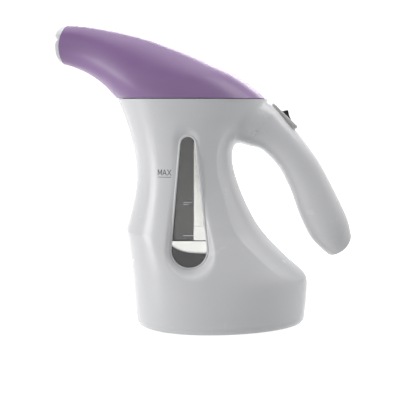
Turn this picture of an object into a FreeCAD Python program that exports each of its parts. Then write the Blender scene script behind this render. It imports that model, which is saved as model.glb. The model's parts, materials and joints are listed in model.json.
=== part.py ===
"""Hand-held garment steamer, in millimetres.

Frame: +Z up, -X towards the nozzle, +X towards the handle, origin in the middle of the base
on the surface it stands on. The object is symmetric about the XZ plane, where the two housing
halves meet. Every sub-part is written to parts/NAME.step.
"""

import FreeCAD
import Part
import math
import os

V = FreeCAD.Vector
os.makedirs("parts", exist_ok=True)

# ---- driving dimensions ---------------------------------------------------------------------
WALL = 2.4              # housing wall
RIM_WALL = 3.4          # thicker wall at the bottom rim
HEAD_WALL = 2.2
FIT = 0.2               # gap round a part that sits in another
SEAM_Z = 190.4          # top edge of the housing
HEAD_GAP = 0.4          # shadow line between the housing and the head
RIM_Z = 1.4             # bottom edge of the housing, above the feet

TANK_X = -31.0          # centre of tank, neck, heater and head plug
TANK_HALF_X = 33.0
TANK_HALF_Y = 31.0
TANK_WALL = 1.8
TANK_Z = 65.0           # underside of the tank flange
TANK_TOP_Z = 184.4
PLUG_R = 23.7
NECK_R = 24.1           # filler opening
NECK_WALL = 3.6

WINDOW_TOP = (-27.2, 154.6, 5.8)       # x, z, radius of the window's upper end
WINDOW_BOTTOM = (-26.2, 68.6, 14.4)    # x, z, radius of its lower end
WINDOW_Y = 36.2                        # recess floor at the top of the window
WINDOW_TILT = 1.2                      # the window leans out towards the base, degrees
RECESS_DRAFT = 30.0                    # slope of the recess wall, degrees

SWITCH_FACE = (53.9, 177.3)            # middle of the switch plate's outer face, x and z
SWITCH_SLOPE = 44.0                    # the plate falls towards the handle's end, degrees

# Housing outline by height: z, front x, rear x, half width, x of the widest point,
# front and rear roundness (2 is an ellipse, more is squarer).
HOUSING = [
    (1.4, -70.2, 70.2, 50.2, -10.0, 2.2, 1.9),
    (4.0, -71.8, 72.0, 51.8, -10.0, 2.2, 1.9),
    (8.0, -72.6, 72.8, 52.2, -10.0, 2.2, 1.9),
    (13.0, -73.1, 73.3, 52.3, -10.4, 2.2, 1.9),
    (18.5, -73.6, 73.8, 52.3, -10.8, 2.2, 1.9),
    (24.5, -74.1, 74.2, 52.2, -11.2, 2.2, 1.9),
    (30.5, -74.6, 74.5, 52.0, -11.6, 2.2, 1.9),
    (36.5, -75.1, 74.3, 51.6, -12.2, 2.2, 1.9),
    (42.0, -75.6, 72.5, 51.2, -13.2, 2.2, 1.9),
    (47.5, -76.1, 67.4, 50.6, -15.0, 2.2, 1.9),
    (54.0, -76.7, 59.8, 49.6, -17.0, 2.2, 1.9),
    (61.0, -77.5, 52.2, 48.2, -19.2, 2.2, 1.93),
    (68.0, -78.4, 45.3, 46.7, -21.0, 2.2, 1.96),
    (74.0, -79.4, 39.8, 45.3, -22.6, 2.2, 2.0),
    (79.5, -80.1, 35.2, 43.8, -24.0, 2.2, 2.0),
    (85.5, -78.6, 31.0, 42.5, -25.4, 2.2, 2.1),
    (92.0, -76.7, 27.1, 41.3, -26.8, 2.2, 2.1),
    (100.0, -74.6, 23.0, 40.0, -28.3, 2.2, 2.2),
    (109.0, -72.6, 18.8, 38.8, -29.6, 2.2, 2.2),
    (118.0, -71.2, 15.2, 38.0, -30.5, 2.2, 2.2),
    (127.0, -70.8, 12.2, 37.6, -31.1, 2.2, 2.2),
    (136.0, -71.2, 10.1, 37.5, -31.8, 2.2, 2.2),
    (145.0, -72.3, 9.7, 37.6, -32.0, 2.2, 2.2),
    (154.0, -74.1, 12.0, 38.0, -32.0, 2.2, 2.15),
    (163.0, -76.3, 17.2, 38.5, -32.3, 2.2, 2.08),
    (172.0, -79.1, 24.7, 39.2, -33.1, 2.2, 2.0),
    (181.0, -82.4, 32.1, 40.0, -34.0, 2.2, 2.0),
    (190.4, -86.4, 37.2, 41.0, -34.4, 2.2, 2.0),
]

# Handle, from its root inside the body to its end: inner x and z, outer x and z, half width.
HANDLE = [
    (13.0, 157.0, 27.0, 191.0, 23.0),
    (25.5, 152.6, 44.6, 185.4, 20.0),
    (33.2, 148.9, 54.0, 175.2, 18.2),
    (41.7, 142.1, 63.6, 163.8, 17.0),
    (50.2, 131.9, 74.1, 150.4, 16.4),
    (55.6, 121.8, 82.5, 138.5, 16.0),
    (60.5, 111.3, 89.9, 125.6, 16.0),
    (65.1, 97.9, 97.7, 110.8, 16.3),
    (70.3, 85.8, 103.8, 98.8, 16.4),
    (76.0, 74.8, 107.6, 90.3, 16.0),
    (82.6, 66.8, 109.6, 84.0, 15.0),
    (90.0, 60.2, 111.0, 78.0, 12.9),
    (98.0, 55.0, 112.8, 68.4, 9.6),
]
HANDLE_END = (103.2, 66.3)             # middle of the chord across the handle's end, x and z
HANDLE_END_TILT = -47.0                # direction the end faces, degrees above +X
HANDLE_END_BULGE = 2.4
HANDLE_END_HALF = 11.3

# Head outline on planes fanned about a line below the nozzle: angle in degrees, radius of the
# underside, radius of the top, half width, share of the way to the widest point, roundness.
HEAD_PIVOT = (-134.1, SEAM_Z + HEAD_GAP)
HEAD = [
    (0.0, 47.6, 171.4, 41.0, 0.42, 2.1),
    (3.0, 45.3, 162.0, 41.0, 0.42, 2.1),
    (7.0, 42.9, 149.2, 40.4, 0.42, 2.1),
    (12.5, 40.4, 130.6, 38.2, 0.43, 2.1),
    (19.0, 37.6, 113.6, 34.6, 0.44, 2.1),
    (27.0, 34.8, 98.2, 30.2, 0.45, 2.1),
    (36.0, 32.3, 85.6, 26.0, 0.46, 2.1),
    (47.0, 30.1, 74.4, 21.8, 0.47, 2.05),
    (60.0, 28.6, 66.5, 18.4, 0.48, 2.0),
    (72.0, 28.2, 62.6, 16.4, 0.49, 2.0),
    (98.0, 29.3, 59.2, 15.0, 0.50, 2.0),
]
HEAD_LOW = 6                           # the row on which the head's two lofts meet
MOUTH_ANGLE = 83.3                     # chord across the nozzle's mouth
MOUTH_BULGE = 3.7                      # the mouth is cut to a convex arc
MOUTH_HALF = 16.0
CAP_OUT = 3.4                          # the steam plate stands this far out of the mouth

SECTION_POINTS = 32


# ---- helpers --------------------------------------------------------------------------------
def export(name, shape):
    if not shape.isValid() or not shape.Solids:
        print("CHECK", name, "valid", shape.isValid(), "solids", len(shape.Solids))
    if isinstance(shape, Part.Compound) and len(shape.Solids) == 1:
        shape = shape.Solids[0]
    shape.exportStep("parts/%s.step" % name)
    print("%-22s solids %d volume %.1f" % (name, len(shape.Solids), shape.Volume))


def signed_power(value, power):
    return math.copysign(abs(value) ** power, value)


def closed_wire(points):
    curve = Part.BSplineCurve()
    curve.interpolate(Points=points, PeriodicFlag=True)
    return Part.Wire(curve.toShape())


def oval_points(low, high, widest, half_width, low_power, high_power):
    """Points (along, across) round an egg from its high end, counted anticlockwise."""
    points = []
    for i in range(SECTION_POINTS):
        angle = 2 * math.pi * i / SECTION_POINTS
        c, s = math.cos(angle), math.sin(angle)
        power = 2 / (high_power if c >= 0 else low_power)
        reach = high - widest if c >= 0 else widest - low
        points.append((widest + reach * signed_power(c, power), half_width * signed_power(s, power)))
    return points


def housing_wire(station, inset=0.0, z=None):
    height, front, rear, half, widest, front_power, rear_power = station
    level = height if z is None else z
    ring = oval_points(front + inset, rear - inset, widest, half - inset, front_power, rear_power)
    return closed_wire([V(x, y, level) for x, y in ring])


def housing_at(z):
    """The housing outline at any height, between its stations."""
    for low, high in zip(HOUSING, HOUSING[1:]):
        if low[0] <= z <= high[0]:
            share = (z - low[0]) / (high[0] - low[0])
            return tuple(a + share * (b - a) for a, b in zip(low, high))
    raise ValueError("no housing at that height")


def loft(wires, ruled=False):
    return Part.makeLoft(wires, True, ruled)


def prism(wire, vector):
    return Part.Face(wire).extrude(vector)


def slab(z_low, z_high, inset, station_z):
    """A flat plate with the housing's outline."""
    wire = housing_wire(housing_at(station_z), inset, z_low)
    return prism(wire, V(0, 0, z_high - z_low))


def cylinder(radius, length, base, direction):
    return Part.makeCylinder(radius, length, base, direction)


def ring(outer, inner, z_low, z_high, x=TANK_X):
    height = z_high - z_low
    solid = cylinder(outer, height, V(x, 0, z_low), V(0, 0, 1))
    return solid.cut(cylinder(inner, height + 2, V(x, 0, z_low - 1), V(0, 0, 1)))


def tank_oval(half_x, half_y, z_low, z_high):
    points = oval_points(TANK_X - half_x, TANK_X + half_x, TANK_X, half_y, 2.4, 2.4)
    return prism(closed_wire([V(x, y, z_low) for x, y in points]), V(0, 0, z_high - z_low))


def mirrored(shape):
    return shape.mirror(V(0, 0, 0), V(0, 1, 0))


def half_space(side):
    """A large box on the left (-1) or the right (+1) of the middle plane."""
    size = 400
    return Part.makeBox(size, size, size, V(-size / 2, 0 if side > 0 else -size, -50))


def teardrop(offset, y):
    """The window's outline, grown by offset, on a plane of constant y."""
    x1, z1, r1 = WINDOW_TOP
    x2, z2, r2 = WINDOW_BOTTOM
    r1, r2 = r1 + offset, r2 + offset
    along = math.atan2(z2 - z1, x2 - x1)
    spread = math.acos((r1 - r2) / math.hypot(x2 - x1, z2 - z1))

    def at(x, z, r, angle):
        return V(x + r * math.cos(angle), y, z + r * math.sin(angle))

    a1, a2 = along + spread, along - spread
    top = Part.Arc(at(x1, z1, r1, a1), at(x1, z1, r1, along + math.pi), at(x1, z1, r1, a2))
    bottom = Part.Arc(at(x2, z2, r2, a2), at(x2, z2, r2, along), at(x2, z2, r2, a1))
    sides = [
        Part.LineSegment(at(x1, z1, r1, a2), at(x2, z2, r2, a2)),
        Part.LineSegment(at(x2, z2, r2, a1), at(x1, z1, r1, a1)),
    ]
    return Part.Wire([top.toShape(), sides[0].toShape(), bottom.toShape(), sides[1].toShape()])


def lean(shape):
    """Turns a left-hand window piece so that it leans out towards the base."""
    turned = shape.copy()
    turned.rotate(V(0, -WINDOW_Y, WINDOW_TOP[1]), V(1, 0, 0), -WINDOW_TILT)
    return turned


def window_prism(offset, y_in, y_out):
    """A left-hand teardrop block from depth y_in to y_out, both measured outwards."""
    return lean(prism(teardrop(offset, -y_in), V(0, -(y_out - y_in), 0)))


def window_recess(offset, depth_shift):
    """The drafted scoop round the window; offset and depth_shift give the wall behind it."""
    reach = 26.0
    start = WINDOW_Y - depth_shift
    grow = (reach + depth_shift) * math.tan(math.radians(RECESS_DRAFT))
    wires = [teardrop(2.2 + offset, -start), teardrop(2.2 + offset + grow, -(WINDOW_Y + reach))]
    return lean(loft(wires, ruled=True))


def frame_point(along, across, out):
    """A point in the switch's own frame: along the handle, across it, and out of its face."""
    slope = math.radians(SWITCH_SLOPE)
    x = SWITCH_FACE[0] + along * math.cos(slope) + out * math.sin(slope)
    z = SWITCH_FACE[1] - along * math.sin(slope) + out * math.cos(slope)
    return V(x, across, z)


def switch_placed(shape):
    """Moves a shape made with its face on z = 0 at the origin to the switch's place."""
    moved = shape.copy()
    moved.rotate(V(0, 0, 0), V(0, 1, 0), SWITCH_SLOPE)
    moved.translate(V(SWITCH_FACE[0], 0, SWITCH_FACE[1]))
    return moved


def rounded_block(length, width, z_low, z_high, radius):
    box = Part.makeBox(length, width, z_high - z_low, V(-length / 2, -width / 2, z_low))
    upright = [e for e in box.Edges if abs(e.Vertexes[0].Z - e.Vertexes[1].Z) > 1e-6]
    return box.makeFillet(radius, upright)


def screw(head_point, direction, length, head_r=2.9, shank_r=1.4, head_h=2.0):
    """A pan-head screw; head_point is under its head and direction points to its tip."""
    back = V(direction).multiply(-head_h)
    head = cylinder(head_r, head_h, head_point.add(back), direction)
    slot_depth = 1.0
    arm = Part.makeBox(0.9, 2 * head_r - 1.6, slot_depth)
    arm.translate(V(-0.45, -head_r + 0.8, -slot_depth))
    cross = arm.fuse(arm.rotated(V(0, 0, 0), V(0, 0, 1), 90))
    turn = FreeCAD.Rotation(V(0, 0, -1), direction)
    cross.Placement = FreeCAD.Placement(head_point.add(back), turn)
    shank = cylinder(shank_r, length, head_point, direction)
    return head.fuse(shank).cut(cross).removeSplitter()


# ---- outer volumes --------------------------------------------------------------------------
def handle_section(row, inset=0.0):
    inner, outer = V(row[0], 0, row[1]), V(row[2], 0, row[3])
    middle = (inner + outer) * 0.5
    axis = (outer - inner).normalize()
    half = (outer - inner).Length / 2 - inset
    points = oval_points(-half, half, 0.0, row[4] - inset, 2.15, 2.15)
    return closed_wire([middle + axis * a + V(0, b, 0) for a, b in points])


def handle_volume(inset=0.0):
    body = loft([handle_section(row, inset) for row in HANDLE])
    facing = math.radians(HANDLE_END_TILT)
    out = V(math.cos(facing), 0, math.sin(facing))
    bulge, half = HANDLE_END_BULGE, HANDLE_END_HALF
    radius = (half ** 2 + bulge ** 2) / (2 * bulge)
    chord = V(HANDLE_END[0], 0, HANDLE_END[1]) - out * inset
    centre = chord - out * (radius - bulge)
    drum = cylinder(radius, 80, V(centre.x, -40, centre.z), V(0, 1, 0))
    block = Part.makeBox(40, 80, 60, V(0, -40, -30))
    block.rotate(V(0, 0, 0), V(0, 1, 0), -HANDLE_END_TILT)
    block.translate(chord - out * 0.5)
    return body.cut(block.cut(drum))


def housing_volume():
    trunk = loft([housing_wire(s) for s in HOUSING])
    above = Part.makeBox(400, 200, 60, V(-200, -100, SEAM_Z))
    return trunk.fuse(handle_volume()).cut(above)


def housing_cavity():
    low = [housing_wire(HOUSING[2], RIM_WALL, -4.0), housing_wire(HOUSING[2], RIM_WALL, 4.0)]
    low.append(housing_wire(HOUSING[3], (RIM_WALL + WALL) / 2))
    rest = [housing_wire(s, WALL) for s in HOUSING[4:-1]]
    top = [housing_wire(HOUSING[-1], WALL), housing_wire(HOUSING[-1], WALL, SEAM_Z + 6)]
    trunk = loft(low + rest + top)
    handle = handle_volume(WALL)
    return trunk.fuse(handle)


def head_wire(row, inset=0.0):
    angle, under, top, half, share, power = row
    low, high = under + inset, top - inset
    widest = under + share * (top - under)
    a = math.radians(angle)
    points = oval_points(low, high, widest, half - inset, power, power)
    px, pz = HEAD_PIVOT
    return closed_wire([V(px + r * math.cos(a), y, pz + r * math.sin(a)) for r, y in points])


def fan_block(angle):
    """Everything in the fan above a plane at the given angle."""
    block = Part.makeBox(400, 200, 200, V(0, -100, 0))
    block.rotate(V(0, 0, 0), V(0, 1, 0), -angle)
    block.translate(V(HEAD_PIVOT[0], 0, HEAD_PIVOT[1]))
    return block


def head_volume(inset=0.0):
    """The head in two lofts that overlap and meet, tangent, on one of the fan's planes."""
    low = loft([head_wire(row, inset) for row in HEAD[:HEAD_LOW + 2]])
    high = loft([head_wire(row, inset) for row in HEAD[HEAD_LOW - 2:]])
    block = fan_block(HEAD[HEAD_LOW][0])
    return low.cut(block).fuse(high.common(block))


def mouth_frame():
    """Middle of the mouth's chord, and the direction that the mouth faces."""
    a = math.radians(MOUTH_ANGLE)
    middle = 44.5
    centre = V(HEAD_PIVOT[0] + middle * math.cos(a), 0, HEAD_PIVOT[1] + middle * math.sin(a))
    return centre, V(-math.sin(a), 0, math.cos(a))


def mouth_cutter(shift):
    """Everything past the convex mouth, moved out by shift."""
    centre, out = mouth_frame()
    bulge, half = MOUTH_BULGE, MOUTH_HALF
    radius = (half ** 2 + bulge ** 2) / (2 * bulge)
    chord = centre + out * shift
    middle = chord - out * (radius - bulge)
    drum = cylinder(radius, 80, V(middle.x, -40, middle.z), V(0, 1, 0))
    block = Part.makeBox(60, 80, 80, V(-60, -40, -40))
    block.rotate(V(0, 0, 0), V(0, 1, 0), 90 - MOUTH_ANGLE)
    block.translate(chord - out * 0.5)
    return block.cut(drum)


# ---- housing --------------------------------------------------------------------------------
# Screws across the halves: x, z and the depth of the seat under the head.
RIGHT_SCREWS = [(69.8, 129.4, 8.0), (93.2, 83.0, 7.0), (57.0, 30.0, 14.0), (-61.0, 28.0, 22.0)]
BASE_SCREWS = [(-58.0, 24.0), (-58.0, -24.0), (46.0, 22.0), (46.0, -22.0)]
BOSS_R = 3.6
RIB_Z = 9.8             # the posts' ribs start above the base cover's rim
# Where the handle's shells end: x and z round the space that holds them.
HANDLE_SPACE = [(24.0, 146.0), (39.6, 191.0), (130.0, 191.0), (130.0, 45.0), (78.0, 45.0), (62.0, 68.0),
                (41.0, 100.0), (31.0, 128.0)]


def across_screw_bosses(side, volume):
    """Posts from the side wall to the middle plane, one pair for each screw."""
    posts = None
    for x, z, seat in RIGHT_SCREWS:
        post = cylinder(BOSS_R + (0.8 if side > 0 else 0), 60, V(x, 0, z), V(0, side, 0))
        if side < 0:
            post = post.cut(cylinder(1.45, 11, V(x, 1, z), V(0, -1, 0)))
        posts = post if posts is None else posts.fuse(post)
    return posts.common(volume)


def base_bosses(side, volume):
    posts = None
    for x, y in BASE_SCREWS:
        if y * side < 0:
            continue
        post = cylinder(BOSS_R, 22, V(x, y, 4.4), V(0, 0, 1))
        rib = Part.makeBox(2.0, 40, 26.4 - RIB_Z, V(x - 1.0, y if side > 0 else y - 40, RIB_Z))
        post = post.fuse(rib).cut(cylinder(1.45, 14, V(x, y, 4), V(0, 0, 1)))
        posts = post if posts is None else posts.fuse(post)
    return posts.common(volume)


def handle_space():
    points = [V(x, -100, z) for x, z in HANDLE_SPACE]
    return prism(Part.makePolygon(points + points[:1]), V(0, 200, 0))


def build_housing():
    volume = housing_volume()
    cavity = housing_cavity()
    recess = window_recess(0.0, 0.0)
    behind = window_recess(2.0, 2.0)
    hole = window_prism(0.0, 20.0, 45.0)
    trim_seat = window_prism(1.8, WINDOW_Y - 0.6, 60.0)
    flange_seat = window_prism(FLANGE_OUT + FIT, WINDOW_Y - 10, WINDOW_Y - PANE + 0.1)
    for cut in (recess, trim_seat):
        volume = volume.cut(cut).cut(mirrored(cut))
    cavity = cavity.cut(behind).cut(mirrored(behind))
    shell = volume.cut(cavity)
    for cut in (hole, flange_seat):
        shell = shell.cut(cut).cut(mirrored(cut))
    shell = shell.cut(switch_placed(rounded_block(26.8 + 2 * FIT, 17 + 2 * FIT, -30, 8, 3.2)))
    shell = shell.cut(switch_placed(rounded_block(28.8 + 2 * FIT, 19 + 2 * FIT, -2.2 - FIT, 8, 4.2)))
    facing = math.radians(HANDLE_END_TILT)
    out = V(math.cos(facing), 0, math.sin(facing))
    gland_hole = cylinder(6.2, 30, V(HANDLE_END[0], 0, HANDLE_END[1]) - out * 10, out)
    shell = shell.cut(gland_hole)
    space = handle_space()
    for side, name in ((-1, "left"), (1, "right")):
        half = shell.common(half_space(side))
        for extra in (across_screw_bosses(side, volume), base_bosses(side, volume)):
            half = half.fuse(extra)
        if side > 0:
            for x, z, seat in RIGHT_SCREWS:
                half = half.cut(cylinder(3.1, 60, V(x, seat, z), V(0, 1, 0)))
                half = half.cut(cylinder(1.6, 60, V(x, -1, z), V(0, 1, 0)))
        half = half.removeSplitter()
        export("housing_" + name, half.cut(space))
        export("handle_" + name, half.common(space))


PANE, FLANGE_OUT = 2.1, 2.6            # the window's thickness, and its flange past the opening


def build_windows():
    pane = window_prism(-FIT, WINDOW_Y - PANE, WINDOW_Y)
    flange = window_prism(FLANGE_OUT, WINDOW_Y - PANE - 1.5, WINDOW_Y - PANE)
    lens = pane.fuse(flange).removeSplitter()
    trim = window_prism(1.6, WINDOW_Y - 0.6, WINDOW_Y + 0.5).cut(window_prism(0.05, 20, 60))
    for name, shape in (("window", lens), ("window_trim", trim)):
        export(name + "_left", shape)
        export(name + "_right", mirrored(shape))


# ---- tank and heater ------------------------------------------------------------------------
FLANGE_X, FLANGE_Y = TANK_HALF_X + 5.0, TANK_HALF_Y + 0.4
GASKET_Z = 63.4         # top face of the dish's flange
FLANGE_Z = 62.2
DISH_Z = 50.4           # underside of the dish
DISH_WALL = 1.2
CARRIER_Z = 35.0
CLAMP_X = 35.2          # clamp screws, from the middle of the tank


def clamp_holes(shape):
    for x in (TANK_X - CLAMP_X, TANK_X + CLAMP_X):
        shape = shape.cut(cylinder(1.25, 40, V(x, 0, CARRIER_Z - 2), V(0, 0, 1)))
    return shape


def build_tank():
    wall = tank_oval(TANK_HALF_X, TANK_HALF_Y, TANK_Z, TANK_TOP_Z)
    wall = wall.fuse(tank_oval(FLANGE_X, FLANGE_Y, TANK_Z, TANK_Z + 2.4))
    inside = tank_oval(TANK_HALF_X - TANK_WALL, TANK_HALF_Y - TANK_WALL, TANK_Z - 1, TANK_TOP_Z + 1)
    export("water_tank", clamp_holes(wall.cut(inside)).removeSplitter())

    plate_low, plate_high = 66.5, 164.0
    front, edge = TANK_X - TANK_HALF_X + TANK_WALL + 0.1, -22.5
    baffle = Part.makeBox(edge - front, 1.8, plate_high - plate_low, V(front, -0.9, plate_low))
    for z in (69, 84):
        baffle = baffle.cut(Part.makeBox(9, 4, 3.5, V(front + 6, -2, z)))
    export("tank_baffle", baffle)


LOCK_LOW, LOCK_HIGH = 176.0, 180.0     # groove for the lock ring in the filler neck
LOCK_R = 26.2


def build_deck():
    plate = slab(TANK_TOP_Z, TANK_TOP_Z + 2.4, WALL + FIT, 184.0)
    collar = cylinder(NECK_R + NECK_WALL, 20.6, V(TANK_X, 0, 168.4), V(0, 0, 1))
    bore = cylinder(NECK_R, 40, V(TANK_X, 0, 160), V(0, 0, 1))
    groove = cylinder(LOCK_R, LOCK_HIGH - LOCK_LOW, V(TANK_X, 0, LOCK_LOW), V(0, 0, 1))
    export("filler_deck", plate.fuse(collar).cut(bore).cut(groove).removeSplitter())
    export("neck_gasket", ring(NECK_R + NECK_WALL - 0.3, NECK_R + 0.3, 189.0, SEAM_Z))
    lock = ring(LOCK_R - 0.4, PLUG_R + 0.4, LOCK_LOW + 0.4, LOCK_HIGH - 0.4)
    export("lock_ring", lock)


def build_heater():
    dish = tank_oval(TANK_HALF_X - 0.6, TANK_HALF_Y - 0.6, DISH_Z, GASKET_Z)
    dish = dish.fuse(tank_oval(FLANGE_X, FLANGE_Y, FLANGE_Z, GASKET_Z))
    inner_x, inner_y = TANK_HALF_X - 0.6 - DISH_WALL, TANK_HALF_Y - 0.6 - DISH_WALL
    dish = dish.cut(tank_oval(inner_x, inner_y, DISH_Z + DISH_WALL, GASKET_Z + 1))
    export("boiler_dish", clamp_holes(dish).removeSplitter())
    gasket = tank_oval(FLANGE_X, FLANGE_Y, GASKET_Z, TANK_Z)
    gasket = gasket.cut(tank_oval(TANK_HALF_X - 1.8, TANK_HALF_Y - 1.8, GASKET_Z - 1, TANK_Z + 1))
    export("boiler_gasket", clamp_holes(gasket))

    carrier = tank_oval(FLANGE_X, FLANGE_Y, CARRIER_Z, DISH_Z)
    carrier = carrier.cut(tank_oval(TANK_HALF_X - 3.0, TANK_HALF_Y - 3.0, CARRIER_Z - 1, DISH_Z + 1))
    for x in (TANK_X - CLAMP_X, TANK_X + CLAMP_X):
        post = cylinder(2.6, FLANGE_Z - DISH_Z + 1, V(x, 0, DISH_Z - 1), V(0, 0, 1))
        carrier = carrier.fuse(post.cut(tank_oval(TANK_HALF_X - 0.6, TANK_HALF_Y - 0.6, DISH_Z, 70)))
    export("heater_carrier", clamp_holes(carrier).removeSplitter())

    spreader_z = DISH_Z - 3.0
    export("heat_spreader", cylinder(25.0, 3.0, V(TANK_X, 0, spreader_z), V(0, 0, 1)))

    tube_r, ring_r = 3.2, 18.5
    element_z = spreader_z - tube_r
    profile = Part.Wire(Part.Circle(V(TANK_X + ring_r, 0, element_z), V(0, 1, 0), tube_r).toShape())
    coil = Part.Face(profile).revolve(V(TANK_X, 0, element_z), V(0, 0, 1), 300)
    coil.rotate(V(TANK_X, 0, 0), V(0, 0, 1), 30)
    export("heating_element", coil)
    pins = []
    for turn in (30, 330):
        a = math.radians(turn)
        foot = V(TANK_X + ring_r * math.cos(a), ring_r * math.sin(a), element_z - tube_r - 7.0)
        pins.append(cylinder(1.2, 7.0 + 0.6, foot, V(0, 0, 1)).cut(coil))
    export("element_pins", Part.makeCompound(pins))

    cap = cylinder(8.2, 5.0, V(TANK_X, 0, spreader_z - 5.0), V(0, 0, 1))
    neck = cylinder(6.4, 5.0, V(TANK_X, 0, spreader_z - 10.0), V(0, 0, 1))
    thermostat = cap.fuse(neck)
    for side in (-1, 1):
        blade = Part.makeBox(0.8, 5.0, 7.0, V(TANK_X + side * 4 - 0.4, -2.5, spreader_z - 17.0))
        thermostat = thermostat.fuse(blade)
    export("thermostat", thermostat.removeSplitter())
    export("thermal_fuse", cylinder(2.2, 12.0, V(TANK_X - 11.5, -6.0, spreader_z - 2.2), V(0, 1, 0)))

    screws = []
    for x in (TANK_X - CLAMP_X, TANK_X + CLAMP_X):
        screws.append(screw(V(x, 0, CARRIER_Z), V(0, 0, 1), 31.5, 2.4, 1.2, 1.6))
    export("clamp_screws", Part.makeCompound(screws))


# ---- base -----------------------------------------------------------------------------------
FEET = [(0.0, 0.0), (-46.0, 27.0), (-46.0, -27.0), (36.0, 27.0), (36.0, -27.0)]


def build_base():
    cover = slab(RIM_Z, RIM_Z + 2.6, RIM_WALL + FIT, 8.0)
    inner_rib = slab(RIM_Z + 2.6, 9.0, RIM_WALL + 5.0, 8.0).cut(slab(RIM_Z, 10.0, RIM_WALL + 7.0, 8.0))
    cover = cover.fuse(inner_rib)
    for x, y in BASE_SCREWS:
        cover = cover.fuse(cylinder(4.8, 3.0 - FIT, V(x, y, RIM_Z), V(0, 0, 1)))
        cover = cover.cut(cylinder(3.2, 2.2, V(x, y, RIM_Z), V(0, 0, 1)))
        cover = cover.cut(cylinder(1.7, 20, V(x, y, 0), V(0, 0, 1)))
        cover = cover.cut(cylinder(4.0, 10, V(x, y, 4.2), V(0, 0, 1)))
    for i in range(-3, 4):
        vent = Part.makeBox(26, 2.2, 6, V(-38, i * 6.0 - 1.1, 0))
        cover = cover.cut(vent)
    feet = []
    for x, y in FEET:
        cover = cover.cut(cylinder(6.1, 0.8, V(x, y, RIM_Z), V(0, 0, 1)))
        pad = cylinder(6.0, RIM_Z + 0.8, V(x, y, 0), V(0, 0, 1))
        lower = [e for e in pad.Edges if e.BoundBox.ZMax < 0.01]
        feet.append(pad.makeFillet(0.5, lower))
    export("base_cover", cover.removeSplitter())
    export("rubber_feet", Part.makeCompound(feet))
    screws = [screw(V(x, y, RIM_Z + 2.2), V(0, 0, 1), 11.0) for x, y in BASE_SCREWS]
    export("base_screws", Part.makeCompound(screws))


def build_housing_screws():
    screws = []
    for x, z, seat in RIGHT_SCREWS:
        screws.append(screw(V(x, seat, z), V(0, -1, 0), seat + 8.0))
    export("housing_screws", Part.makeCompound(screws))


# ---- switch and cord inlet ------------------------------------------------------------------
ROCKER_AT = 1.3         # middle of the rocker, along the plate
ROCKER_HALF, ROCKER_WIDTH = 5.1, 12.6
ROCKER_PIVOT = -1.5     # height of the pivot above the plate's face
ROCKER_DISC = 5.2
LAMP_AT = 10.4


def build_switch():
    plate = rounded_block(28.8, 19.0, -2.2, 0.0, 4.0)
    top_edges = [e for e in plate.Edges if e.BoundBox.ZMin > -0.01]
    plate = plate.makeFillet(0.7, top_edges)
    plate = plate.fuse(rounded_block(26.4, 16.6, -6.0, -2.2, 3.0))
    half = ROCKER_HALF + 0.6
    corner = V(ROCKER_AT - half, -ROCKER_WIDTH / 2 - 0.5, -20)
    opening = Part.makeBox(2 * half, ROCKER_WIDTH + 1.0, 30, corner)
    lamp_hole = cylinder(1.7, 20, V(LAMP_AT, 0, -15), V(0, 0, 1))
    export("switch_plate", switch_placed(plate.cut(opening).cut(lamp_hole).removeSplitter()))
    export("indicator_lens", switch_placed(cylinder(1.6, 6.2, V(LAMP_AT, 0, -6.2), V(0, 0, 1))))

    body = Part.makeBox(14.4, 15.8, 12.9, V(ROCKER_AT - 7.2, -7.9, -19.0))
    well = Part.makeBox(2 * half, ROCKER_WIDTH + 1.0, 8.0, corner + V(0, 0, 7.0))
    export("switch_body", switch_placed(body.cut(well)))
    tabs = [Part.makeBox(0.8, 4.8, 6.5, V(ROCKER_AT + s * 4.0 - 0.4, -2.4, -25.5)) for s in (-1, 1)]
    export("switch_terminals", switch_placed(Part.makeCompound(tabs)))

    # Rocker seen from the side, along and out: a disc about the pivot with one end standing up.
    h = ROCKER_HALF
    side_view = [(-h, -1.0), (-h, 0.2), (-2.9, 4.0), (-2.3, 4.0), (1.2, 1.6), (h - 0.1, 0.3), (h, -1.0)]
    points = [V(x, 0, z) for x, z in side_view]
    wing = prism(Part.makePolygon(points + points[:1]), V(0, ROCKER_WIDTH, 0))
    drum = cylinder(ROCKER_DISC, ROCKER_WIDTH, V(0, 0, ROCKER_PIVOT), V(0, 1, 0))
    drum = drum.common(Part.makeBox(20, 40, 10, V(-10, -10, -10.9)))
    rocker = wing.fuse(drum).removeSplitter()
    rocker.translate(V(ROCKER_AT, -ROCKER_WIDTH / 2, 0))
    export("switch_rocker", switch_placed(rocker))
    pivot = frame_point(ROCKER_AT, 0, ROCKER_PIVOT)
    print("rocker pivot %.3f %.3f" % (pivot.x, pivot.z))


GLAND_R, GLAND_BORE = 6.0, 3.6
GLAND_IN, GLAND_OUT = -9.0, 1.6        # ends of the bush from the chord across the handle's end
LEAD_R = 1.1
HANDLE_PATH = [(95.2, 74.6), (89.0, 77.6), (85.0, 83.0), (81.2, 91.0), (75.8, 102.4), (69.2, 115.6),
               (63.0, 126.8), (57.0, 137.6)]
TRUNK_PATH = [(20.0, 168.6), (12.0, 163.4), (6.8, 151.0), (5.2, 136.0), (5.6, 120.0), (8.6, 100.0),
              (12.0, 80.0), (13.2, 62.0), (12.6, 46.0), (8.6, 33.0), (-1.0, 27.6), (-11.0, 29.0)]


def lead(points):
    curve = Part.BSplineCurve()
    curve.interpolate(Points=points)
    path = Part.Wire(curve.toShape())
    start = curve.tangent(curve.FirstParameter)[0]
    profile = Part.Wire(Part.Circle(points[0], start, LEAD_R).toShape())
    return path.makePipeShell([profile], True, True)


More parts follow.
